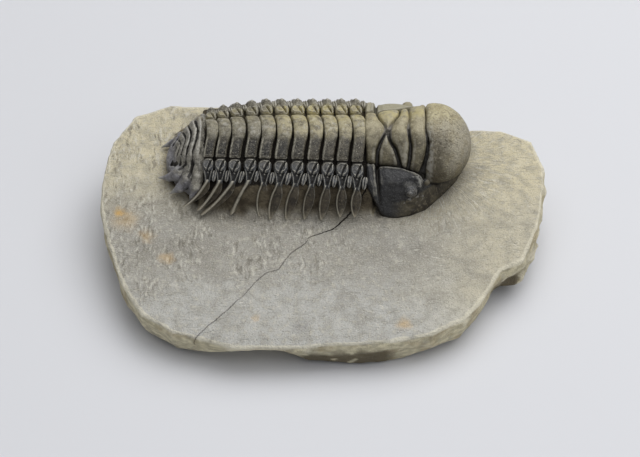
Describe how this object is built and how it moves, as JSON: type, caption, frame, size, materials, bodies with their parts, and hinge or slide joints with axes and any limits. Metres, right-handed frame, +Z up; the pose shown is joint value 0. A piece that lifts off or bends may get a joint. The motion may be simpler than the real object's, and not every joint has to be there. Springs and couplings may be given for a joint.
{
  "type": "trilobite fossil",
  "caption": "Trilobite with a bulb-like head and hanging side spines, standing free on a tilted slab of grey-cream limestone.",
  "frame": {"origin": "centre of the bounding box, on the surface the slab lies on", "axes": "+X towards the trilobite's head along its body, +Y towards its left side and the thick edge of the slab, +Z up"},
  "size_m": [0.114, 0.0764, 0.0335],
  "materials": {
    "limestone": "matt, finely tooled, broken edges",
    "shell_olive": "satin, finely granular",
    "shell_umber": "satin, dark in the furrows",
    "shell_slate": "satin, smooth"
  },
  "bodies": {
    "root": {"matrix": "limestone", "cranidium": "shell_olive", "free_cheek_right": "shell_slate", "free_cheek_left": "shell_slate", "thoracic_segment_01": "shell_umber", "thoracic_segment_02": "shell_umber", "thoracic_segment_03": "shell_umber", "thoracic_segment_04": "shell_umber", "thoracic_segment_05": "shell_umber", "thoracic_segment_06": "shell_umber", "thoracic_segment_07": "shell_umber", "thoracic_segment_08": "shell_umber", "thoracic_segment_09": "shell_umber", "thoracic_segment_10": "shell_umber", "thoracic_segment_11": "shell_umber", "pygidium": "shell_slate"}
  },
  "joints": []
}
